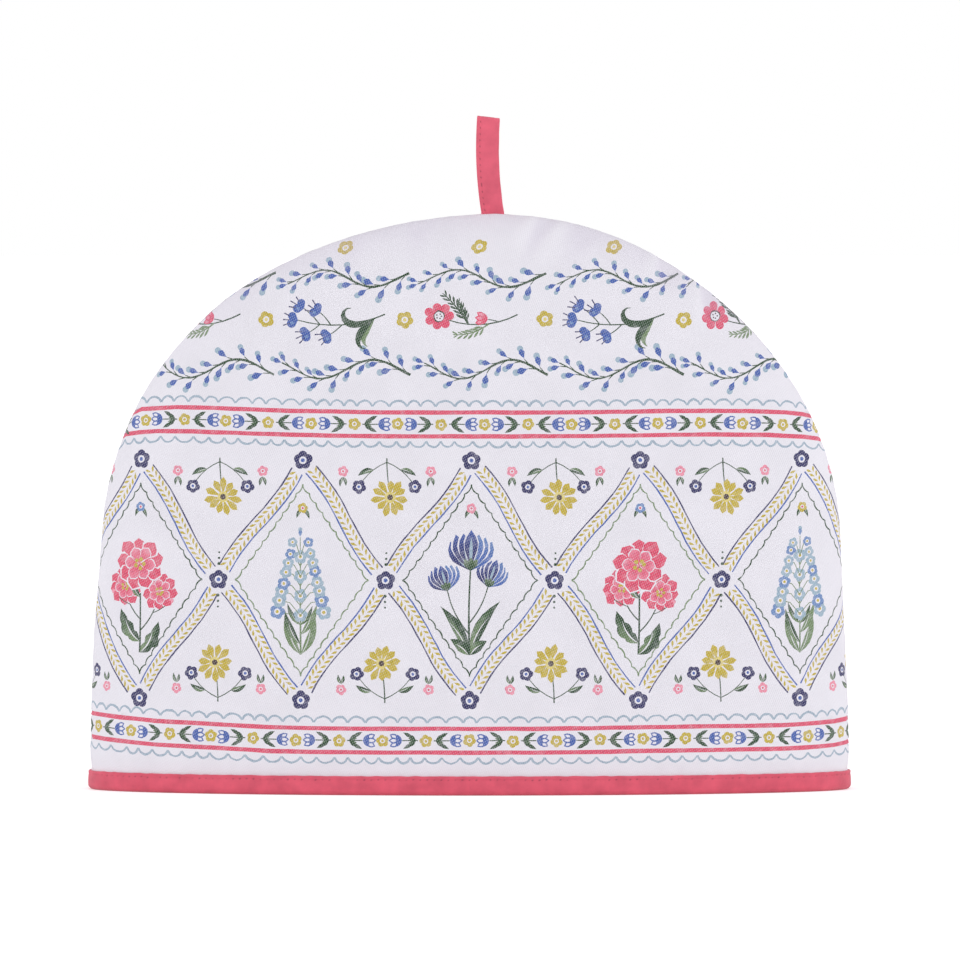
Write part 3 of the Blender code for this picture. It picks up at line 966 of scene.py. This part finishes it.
def painted_crease_shading(places, distance):
    """Painted light and shade for the cloth's colour: above zero, painted light on a ridge; below zero,
    painted shade in a trough and where the dome's cloth turns into the seam.
    """
    dome = np.clip((places[:, 1] - DOME_SHADE_V) / DOME_SHADE_FADE, 0.0, 1.0)
    return crease_height(places) - dome * np.exp(-(distance / DOME_SHADE_REACH) ** 2)


def cloth_height(places, distance, seed):
    """Uneven rise and fall of the cloth in millimetres: creases, puckers and broad waves."""
    u, v = places.T
    broad = [noise.noise(Vector((a / 46.0, b / 38.0, seed))) for a, b in places]
    fine = [noise.noise(Vector((a / 15.0, b / 19.0, seed + 7.0))) for a, b in places]
    along_seam = np.arctan2(v - SEAM_MIDDLE_V, u) * SEAM_RADIUS
    pucker = np.sin(TURN * along_seam / SEAM_PUCKER_PITCH + 2.2 * np.sin(along_seam / 37.0))
    hem_pucker = np.sin(TURN * u / HEM_PUCKER_PITCH + 1.8 * np.sin(u / 23.0 + seed))
    height = crease_height(places) + (BROAD_WAVE * np.array(broad) + FINE_WAVE * np.array(fine))
    height += SEAM_PUCKER * pucker * np.exp(-distance / 6.0)
    height += HEM_PUCKER * hem_pucker * np.exp(-((v - 9.0) / 6.0) ** 2)
    return height * np.clip(distance / 5.0, 0.15, 1.0)


def loop_parting(x, z):
    """How far the seam parts, in metres, where the loop is sewn in."""
    off = np.abs(x - LOOP_BASE_X) - 0.5 * LOOP_WIDTH + PARTING_INSET
    return LOOP_PARTING * ease(np.clip(1.0 - off / PARTING_FADE, 0.0, 1.0)) * (z > 0.2)


def place_cloth(places, distance, on_seam, seed, side):
    """Outer and inner points of a panel for flat places, laid out as on the front one."""
    points, outward = CLOTH.to_surface(-side * places[:, 0], places[:, 1], on_seam)
    outward[on_seam, 1] = 0.0
    outward /= np.linalg.norm(outward, axis=1, keepdims=True)
    squeeze = squeeze_at(points[:, 2])
    free = np.clip((points[:, 2] - BINDING_HEIGHT) / BINDING_FADE, 0.0, 1.0)
    sink = SEAM_SINK * np.exp(-(distance / SEAM_SINK_REACH) ** 2) * free
    lift = cloth_height(places, distance, seed) * MM * free
    outer = points + (lift - sink - squeeze)[:, None] * outward
    inner = points - (PANEL_THICKNESS - squeeze - 0.6 * lift)[:, None] * outward
    parting = loop_parting(points[:, 0], points[:, 2]) * np.exp(-(distance / PARTING_REACH) ** 2)
    for layer in (outer, inner):
        layer[:, 1] = np.minimum(layer[:, 1] - (0.5 * SEAM_GAP + parting), -0.5 * SEAM_GAP)
    at_hem = places[:, 1] < 1e-3
    inner[at_hem, 2] = outer[at_hem, 2] = PANEL_BOTTOM_Z
    return outer, inner


def inner_layer(loop_places):
    """Coarse triangles of the panel's inner face, sharing the outer face's edge."""
    points = [Vector(place) for place in loop_places]
    faces = [list(range(len(points)))]
    for row in range(1, int(CLOTH.height / INNER_STEP)):
        v = row * INNER_STEP
        half = float(CLOTH.half_width_at(v)) - 5.0
        columns = max(int(2.0 * half / 8.0), 1)
        if v < CLOTH.height - 6.0:
            points.extend(Vector((-half + 2.0 * half * k / columns, v)) for k in range(columns + 1))
    result = delaunay_2d_cdt(points, [], faces, 1, 1e-5, True)
    triangles = [face for face, ids in zip(result[2], result[5]) if 0 in ids]
    return np.array([tuple(point) for point in result[0]]), np.array(triangles)


def bake_map(places, share, bottom):
    """Flat places on the unit square, at a share of its width and from a level upwards."""
    scale = 0.98 * share / (2.0 * CLOTH.half_width)
    return np.stack([0.5 + places[:, 0] * scale, bottom + places[:, 1] * scale], axis=1)


def build_panel(name, side, cut, material, seed):
    """One printed, wadded panel as one closed body. side is -1 at the front."""
    places, triangles, colours = cut
    loop = border_loop(triangles)
    on_seam = np.zeros(len(places), bool)
    on_seam[loop] = places[loop, 1] > 1e-3
    on_seam |= (np.abs(places[:, 0]) > CLOTH.half_width - 1e-3) & (places[:, 1] < 1e-3)
    distance = np.where(on_seam, 0.0, seam_distance(places))
    outer, rim = place_cloth(places, distance, on_seam, seed, side)

    inner_places, inner_triangles = inner_layer(places[loop])
    inner_seam = np.zeros(len(inner_places), bool)
    inner_seam[:len(loop)] = on_seam[loop]
    inner_distance = np.where(inner_seam, 0.0, seam_distance(inner_places))
    inner = place_cloth(inner_places, inner_distance, inner_seam, seed, side)[1]
    inner[:len(loop)] = rim[loop]

    count = len(outer)
    edge = np.arange(len(loop)) + count
    rim_faces = np.stack([loop, edge, np.roll(edge, -1), np.roll(loop, -1)], axis=1)
    faces = triangles.tolist() + (inner_triangles[:, ::-1] + count).tolist() + rim_faces.tolist()
    mesh = new_mesh(name, np.concatenate([outer, inner]) * (1.0, -side, 1.0), faces, material)

    ink = np.zeros((len(mesh.loops), 4), np.float32)
    ink[:len(colours)] = colours
    mesh.color_attributes.new("ink", "FLOAT_COLOR", "CORNER").data.foreach_set("color", ink.ravel())
    all_places = np.concatenate([places, inner_places])
    # Painted shade in the troughs and beside the dome's seam, and painted light on the ridges, for the
    # cloth's colour
    tone = painted_crease_shading(all_places, np.concatenate([distance, inner_distance]))
    add_attribute(mesh, "cloth", "FLOAT_VECTOR", "POINT", np.pad(all_places, ((0, 0), (0, 1))))
    add_attribute(mesh, "painted_shading", "FLOAT", "POINT", tone)
    flat = np.concatenate([bake_map(places, 1.0, 0.01), bake_map(inner_places, 0.3, 0.76)])
    corner_vertex = np.empty(len(mesh.loops), np.int32)
    mesh.loops.foreach_get("vertex_index", corner_vertex)
    layout = mesh.uv_layers.new(name="OFBake")
    layout.uv.foreach_set("vector", flat[corner_vertex].astype(np.float32).ravel())
    mesh.validate()
    return finish_piece(mesh, 55.0)


# ---------------------------------------------------------------- hem binding and loop

def run(points):
    """Distance run along points, from zero."""
    return totals(np.linalg.norm(np.diff(points, axis=0), axis=1))


def arc(middle, half_sizes, first, last, steps):
    """Points of an oval arc between two angles in degrees."""
    points = []
    for index in range(steps + 1):
        angle = math.radians(first + (last - first) * index / steps)
        points.append((middle[0] + half_sizes[0] * math.cos(angle),
                       middle[1] + half_sizes[1] * math.sin(angle)))
    return points


def swept_piece(name, rings, hole_shade, along, around, closed, material):
    """A body from rings of points, with its weave coordinates in millimetres and the painted shade of its
    stitch holes.
    """
    ring_count, width = rings.shape[:2]
    faces = []
    coordinates = []
    for ring in range(ring_count if closed else ring_count - 1):
        for place in range(width):
            corners = ((ring, place), (ring + 1, place), (ring + 1, place + 1), (ring, place + 1))
            faces.append([a % ring_count * width + b % width for a, b in corners])
            coordinates.extend((along[a], around[b], 0.0) for a, b in corners)
    if not closed:
        for ring, order in ((0, 1), (ring_count - 1, -1)):
            places = range(width)[::order]
            faces.append([ring * width + place for place in places])
            coordinates.extend((along[ring], around[place], 0.0) for place in places)
    mesh = new_mesh(name, rings.reshape(-1, 3), faces, material)
    add_attribute(mesh, "tape", "FLOAT_VECTOR", "CORNER", coordinates)
    add_attribute(mesh, "needle_hole_shade", "FLOAT", "POINT", hole_shade)
    return finish_piece(mesh, 60.0)


def binding_section():
    """Closed U-shaped section of the binding in millimetres: depth behind the cloth's face, and z."""
    face, lip, inner_face, top = -0.5, 0.78, 5.5, BINDING_HEIGHT / MM
    roll = 0.5 * (lip - face)
    rows = (3.2, 4.3, 5.4, 6.3, 6.8, 7.1, 7.4, 7.8)
    points = arc((face + 2.2, 2.2), (2.2, 2.2), 270.0, 180.0, 6)
    points += [(face, z) for z in rows]
    points += arc((face + roll, top - 0.55), (roll, 0.55), 180.0, 0.0, 6)
    points += [(0.5, 1.3), (4.5, 1.3)]
    points += arc((inner_face - roll, top - 0.55), (roll, 0.55), 180.0, 0.0, 6)
    points += [(inner_face, z) for z in reversed(rows)]
    points += arc((inner_face - 1.4, 1.4), (1.4, 1.4), 0.0, -90.0, 4)
    return np.array(points)


def hem_points(turns):
    """Points of the hem's oval, once round from the front's middle: (x, y)."""
    return np.stack([HEM_HALF_WIDTH * np.sin(turns), -HEM_HALF_DEPTH * np.cos(turns)], axis=1)


def build_binding(material):
    """The coral binding, folded round the hem and stitched through near its upper edge."""
    fine = np.linspace(0.0, TURN, 6001)
    lengths = run(hem_points(fine)) / MM
    count = 3 * BINDING_STITCHES
    along = np.linspace(0.0, lengths[-1], count + 1)
    turns = np.interp(along[:-1], lengths, fine)
    on_hem = hem_points(turns)
    outward = on_hem / (HEM_HALF_WIDTH ** 2, HEM_HALF_DEPTH ** 2)
    outward /= np.linalg.norm(outward, axis=1, keepdims=True)

    section = binding_section()
    stitch_z = BINDING_HEIGHT / MM - BINDING_STITCH_DROP
    rings = np.zeros((count, len(section), 3))
    hole_shade = np.zeros(rings.shape[:2])
    chance = random.Random(5)
    for ring in range(count):
        spot = Vector((6.0 * math.sin(turns[ring]), 6.0 * math.cos(turns[ring]), 0.0))
        wave = noise.noise(7.0 * spot)
        ripple = math.sin(TURN * along[ring] / BINDING_RIPPLE_PITCH + 3.0 * noise.noise(2.0 * spot))
        is_hole = ring % 3 == 0
        slip = chance.uniform(-0.65, 0.05)
        for place, (depth, z) in enumerate(section):
            is_face = depth < -0.4 or depth > 5.4
            near = math.exp(-((z - stitch_z - 0.25 * wave) / 0.42) ** 2) * is_face
            puff = BINDING_PUFF * math.sin(math.pi * min(z / stitch_z, 1.0)) * is_face
            swell = BINDING_RIPPLE * ripple * min(z / 6.0, 1.0) * is_face
            edge = max(0.0, (z - 7.6) / 1.2)
            out = puff - near * (BINDING_HOLE if is_hole else BINDING_STITCH) + swell
            off = depth - out if depth < 2.5 else depth + out
            x, y = on_hem[ring] - off * MM * outward[ring]
            rings[ring, place] = (x, y, (z + edge * (0.16 * wave + 0.06 * ripple)) * MM)
            # Painted shade in the stitch holes, uneven from hole to hole
            hole_shade[ring, place] = near * is_hole * (1.0 + slip)
    around = run(section)
    around = np.append(around, around[-1] + 1.0)
    return swept_piece("hem_binding_tape", rings, hole_shade, along, around, True, material)


def loop_path():
    """Middle line of the tape from the side, up the front leg, over and down the back: (y, z) in metres."""
    leg_y = 0.00015 + 0.5 * LOOP_CLOTH
    bend_z = BODY_HEIGHT + LOOP_HEIGHT - LOOP_BEND_RADIUS - 0.5 * LOOP_CLOTH
    front = [(-leg_y, BODY_HEIGHT - LOOP_TAIL + MM * index) for index in range(8)]
    steps = 45
    for index in range(steps):
        share = index / steps
        ends = leg_y + (LOOP_BEND_RADIUS - leg_y) * share
        belly = (LOOP_HALF_SPREAD - ends) * math.sin(math.pi * share) ** 1.6
        front.append((-ends - belly, BODY_HEIGHT + (bend_z - BODY_HEIGHT) * share))
    bend = arc((0.0, bend_z), (LOOP_BEND_RADIUS, LOOP_BEND_RADIUS), 180.0, 0.0, 10)
    back = [(-y, z) for y, z in reversed(front)]
    return np.array(front + bend + back)


def loop_section():
    """Closed section of the folded tape in millimetres: across from its middle, and outward."""
    half, thick = 0.5 * LOOP_WIDTH / MM, 0.5 * LOOP_CLOTH / MM
    stitch = LOOP_STITCH_INSET - half
    across = (-half + 0.45, -half + 1.0, stitch - 0.35, stitch, stitch + 0.35, stitch + 0.9,
              -0.8, 0.8, 2.2, 3.4, half - 0.45)
    outside = [(a, thick) for a in reversed(across)]
    left = arc((-half + 0.45, 0.0), (0.45, thick), 120.0, 240.0, 4)
    inside = [(a, -thick) for a in across]
    right = arc((half - 0.45, 0.0), (0.45, thick), -60.0, 60.0, 4)
    return np.array(outside + left + inside + right)


def build_loop(material):
    """The hanging loop: one folded and stitched tape, bent over and sewn into the seam."""
    path = loop_path()
    section = loop_section()
    along = run(path) / MM
    tangent = np.gradient(path, axis=0)
    tangent /= np.linalg.norm(tangent, axis=1, keepdims=True)
    stitch = LOOP_STITCH_INSET - 0.5 * LOOP_WIDTH / MM
    rings = np.zeros((len(path), len(section), 3))
    hole_shade = np.zeros(rings.shape[:2])
    for ring, (y, z) in enumerate(path):
        tangent_y, tangent_z = tangent[ring]
        share = max(0.0, (z - BODY_HEIGHT) / LOOP_HEIGHT)
        middle = LOOP_BASE_X - LOOP_BOW * math.sin(0.72 * math.pi * share ** 0.9)
        slope = LOOP_TOP_SLOPE * share * share
        is_hole = (along[ring] / LOOP_STITCH_PITCH) % 1.0 < LOOP_HOLE_SHARE
        wave = noise.noise(Vector((along[ring] / 9.0, 3.0, 0.0)))
        for place, (across, thick) in enumerate(section):
            near = math.exp(-((across - stitch) / 0.40) ** 2) * (abs(thick) > 0.5)
            fold = LOOP_FOLD * math.exp(-((across - 3.0) / 0.5) ** 2) * (abs(thick) > 0.5)
            pressed = thick - math.copysign(near * (LOOP_HOLE if is_hole else LOOP_STITCH) - fold, thick)
            spread = across * (1.0 + 0.018 * wave) + 0.12 * wave
            rings[ring, place] = (middle + spread * MM, y - tangent_z * pressed * MM,
                                  z + (tangent_y * pressed - slope * spread) * MM)
            # Painted shade in the stitch holes
            hole_shade[ring, place] = near * is_hole
    around = run(section)
    around = np.append(around, around[-1] + 0.5)
    return swept_piece("hanging_loop_tape", rings, hole_shade, along, around, False, material)


# ---------------------------------------------------------------- materials

class Nodes:
    """Short calls to build the nodes of a material or world."""

    def __init__(self, owner):
        owner.use_nodes = True
        self.owner = owner
        self.tree = owner.node_tree

    def feed(self, node, inputs):
        """Give a node's inputs other nodes' outputs, numbers or linear colours."""
        for key, value in inputs.items():
            if isinstance(value, bpy.types.NodeSocket):
                self.tree.links.new(value, node.inputs[key])
            else:
                node.inputs[key].default_value = value if isinstance(value, float) else (*value, 1.0)

    def add(self, kind, inputs, **settings):
        """Outputs of a new node."""
        node = self.tree.nodes.new(kind)
        for key, value in settings.items():
            setattr(node, key, value)
        self.feed(node, inputs)
        return node.outputs

    def math(self, operation, first, second=0.0):
        return self.add("ShaderNodeMath", {0: first, 1: second}, operation=operation)[0]

    def wave(self, value, length):
        """A sine that repeats after a length."""
        return self.math("SINE", self.math("MULTIPLY", value, TURN / length))

    def attribute(self, name):
        return self.add("ShaderNodeAttribute", {}, attribute_name=name)

    def camera_ray(self):
        return self.add("ShaderNodeLightPath", {})["Is Camera Ray"]

    def noise(self, vector, scale, detail=2.0):
        return self.add("ShaderNodeTexNoise", {"Vector": vector, "Scale": scale, "Detail": detail})["Fac"]

    def mix(self, factor, first, second, blend="MIX"):
        inputs = {0: factor, 6: first, 7: second}
        return self.add("ShaderNodeMix", inputs, data_type="RGBA", blend_type=blend)[2]

    def ramp(self, value, low, high, start=0.0, end=1.0):
        """From start, where a value is low, to end, where it is high."""
        inputs = {"Value": value, "From Min": low, "From Max": high, "To Min": start, "To Max": end}
        return self.add("ShaderNodeMapRange", inputs)["Result"]


def finish_cotton(nodes, roughness, sheen, colour, height, strength, relief):
    """A matt cotton surface of a colour, with the weave's height as its relief in metres."""
    bump = nodes.add("ShaderNodeBump", {"Strength": strength, "Distance": relief, "Height": height})
    nodes.feed(nodes.tree.nodes["Principled BSDF"], {
        "Base Color": colour, "Roughness": roughness, "Sheen Weight": sheen,
        "Specular IOR Level": 0.25, "Normal": bump["Normal"]})
    return nodes.owner


def twill_height(nodes, across, up):
    """Height of a twill weave: steep ribs that lean to the left, each broken into short floats."""
    rib = nodes.wave(nodes.math("ADD", across, nodes.math("MULTIPLY", up, RIB_LEAN)), RIB_PITCH)
    thread = nodes.wave(nodes.math("SUBTRACT", up, nodes.math("MULTIPLY", across, FLOAT_LEAN)), FLOAT_LENGTH)
    return nodes.math("ADD", nodes.math("MULTIPLY", rib, 0.58), nodes.math("MULTIPLY", thread, 0.42))


def printed_twill():
    """White cotton twill with the ink of the print in its threads, painted shade in its troughs and beside
    the dome's seam, and painted light on its ridges.
    """
    nodes = Nodes(bpy.data.materials.new("printed_twill"))
    cloth = nodes.attribute("cloth")["Vector"]
    ink = nodes.attribute("ink")
    painted_shading = nodes.attribute("painted_shading")["Fac"]
    split = nodes.add("ShaderNodeSeparateXYZ", {0: cloth})
    weave = twill_height(nodes, split[0], split[1])
    mottle = nodes.noise(cloth, 0.045, 3.0)
    wash = nodes.noise(cloth, 0.30, 3.0)
    pool = nodes.noise(cloth, 0.75)
    slub = nodes.noise(cloth, 0.9)
    light = linear(GROUND)
    ground = nodes.mix(nodes.ramp(mottle, 0.35, 0.65), 0.955 * light, light)
    ground = nodes.mix(nodes.ramp(weave, 0.8, -0.8, 0.0, 0.42), ground, WEAVE_SHADE)
    pale = nodes.mix(nodes.ramp(wash, 0.48, 0.78, 0.0, 0.22), ink["Color"], light)
    deep = nodes.mix(1.0, pale, INK_DEPTH, "MULTIPLY")
    print_colour = nodes.mix(nodes.ramp(pool, 0.50, 0.72, 0.0, 0.85), pale, deep)
    bare_ribs = nodes.ramp(weave, -0.10, 0.90, 0.0, 0.31)
    bare_slubs = nodes.ramp(slub, 0.56, 0.80, 0.0, 0.14)
    cover = nodes.math("SUBTRACT", nodes.math("SUBTRACT", 1.0, bare_ribs), bare_slubs)
    colour = nodes.mix(nodes.math("MULTIPLY", cover, ink["Alpha"]), ground, print_colour)
    # Painted shade in the troughs and beside the dome's seam, then painted light on the ridges
    colour = nodes.mix(nodes.ramp(painted_shading, -0.05, -1.2, 0.0, 0.22), colour, PAINTED_TROUGH_SHADE)
    colour = nodes.mix(nodes.ramp(painted_shading, 0.10, 0.90, 0.0, 0.24), colour, PAINTED_RIDGE_LIGHT)
    height = nodes.math("ADD", weave, nodes.math("MULTIPLY", slub, 0.5))
    return finish_cotton(nodes, 0.86, 0.12, colour, height, 0.35, 0.00012)


def woven_tape(name, colour):
    """Plain coral cotton, a little mottled, with painted shade in the holes along its stitches."""
    nodes = Nodes(bpy.data.materials.new(name))
    tape = nodes.attribute("tape")["Vector"]
    split = nodes.add("ShaderNodeSeparateXYZ", {0: tape})
    weave = nodes.math("MULTIPLY", nodes.wave(split[0], WARP_PITCH), nodes.wave(split[1], WEFT_PITCH))
    mottle = nodes.noise(tape, 0.11, 3.0)
    slub = nodes.noise(tape, 1.1)
    needle_hole_shade = nodes.attribute("needle_hole_shade")["Fac"]
    base = linear(colour)
    light = np.minimum(1.0, 1.16 * base + 0.008)
    dark = 0.86 * base
    tone = nodes.mix(nodes.ramp(mottle, 0.30, 0.72), dark, light)
    tone = nodes.mix(nodes.ramp(weave, -1.0, 1.0, 0.0, 0.28), tone, dark)
    tone = nodes.mix(nodes.ramp(slub, 0.55, 0.85, 0.0, 0.25), tone, light)
    # Painted shade in the stitch holes
    tone = nodes.mix(nodes.ramp(needle_hole_shade, 0.25, 0.95, 0.0, 0.62), tone, 0.25 * base)
    return finish_cotton(nodes, 0.78, 0.25, tone, nodes.math("ADD", weave, slub), 0.4, 0.00010)


def white_room():
    """An even white surround, seen brighter and whiter than it lights."""
    nodes = Nodes(bpy.data.worlds.new("white_room"))
    seen = nodes.camera_ray()
    nodes.feed(nodes.tree.nodes["Background"], {
        "Color": nodes.mix(seen, (1.0, 0.965, 0.995), (1.0, 1.0, 1.0)),
        "Strength": nodes.ramp(seen, 0.0, 1.0, 0.755, 1.0)})
    return nodes.owner


def pale_floor():
    """A white studio floor, seen brighter than it lights."""
    nodes = Nodes(bpy.data.materials.new("pale_floor"))
    glow = nodes.ramp(nodes.camera_ray(), 0.0, 1.0, 0.06, 0.38)
    nodes.feed(nodes.tree.nodes["Principled BSDF"], {
        "Base Color": (0.90, 0.90, 0.90), "Roughness": 0.9, "Specular IOR Level": 0.0,
        "Emission Color": (1.0, 1.0, 1.0), "Emission Strength": glow})
    return nodes.owner


# ---------------------------------------------------------------- camera, light and floor

def camera_and_light():
    """Long lens just above the cosy's middle, a pale floor and soft light."""
    scene = bpy.context.scene
    data = bpy.data.cameras.new("camera")
    data.lens = 400.0
    data.sensor_width = 36.0
    data.clip_end = 50.0
    distance = PICTURE_WIDTH * data.lens / data.sensor_width
    tilt = math.radians(CAMERA_TILT)
    camera = bpy.data.objects.new("camera", data)
    camera.location = Vector(CAMERA_TARGET) + distance * Vector((0.0, -math.cos(tilt), math.sin(tilt)))
    camera.rotation_euler = (UP - tilt, 0.0, 0.0)
    scene.collection.objects.link(camera)
    scene.camera = camera

    for name, place, power in LAMPS:
        lamp = bpy.data.lights.new(name, "SUN")
        lamp.angle = math.radians(LAMP_SOFTNESS)
        lamp.energy = power
        item = bpy.data.objects.new(name, lamp)
        item.location = place
        item.rotation_euler = (-Vector(place)).to_track_quat("-Z", "Y").to_euler()
        scene.collection.objects.link(item)
    scene.world = white_room()
    scene.view_settings.view_transform = "Standard"

    bpy.ops.mesh.primitive_plane_add(size=40.0, location=(0.0, 0.0, 0.0))
    floor = bpy.context.object
    floor.name = "floor"
    floor.data.materials.append(pale_floor())


def main():
    """Dress the frame."""
    camera_and_light()
    cotton = printed_twill()
    cut = cut_cloth(draw_print())
    front = build_panel("front_panel_cloth", -1.0, cut, cotton, 1.0)
    back = build_panel("back_panel_cloth", 1.0, cut, cotton, 5.0)
    for panel, node in ((front, "front_panel"), (back, "back_panel")):
        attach(panel, "root")
        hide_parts(node)
    binding = build_binding(woven_tape("coral_binding", BINDING_CORAL))
    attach(binding, "root")
    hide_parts("hem_binding")
    loop = build_loop(woven_tape("coral_tape", TAPE_CORAL))
    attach(loop, "root")
    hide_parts("hanging_loop")


main()
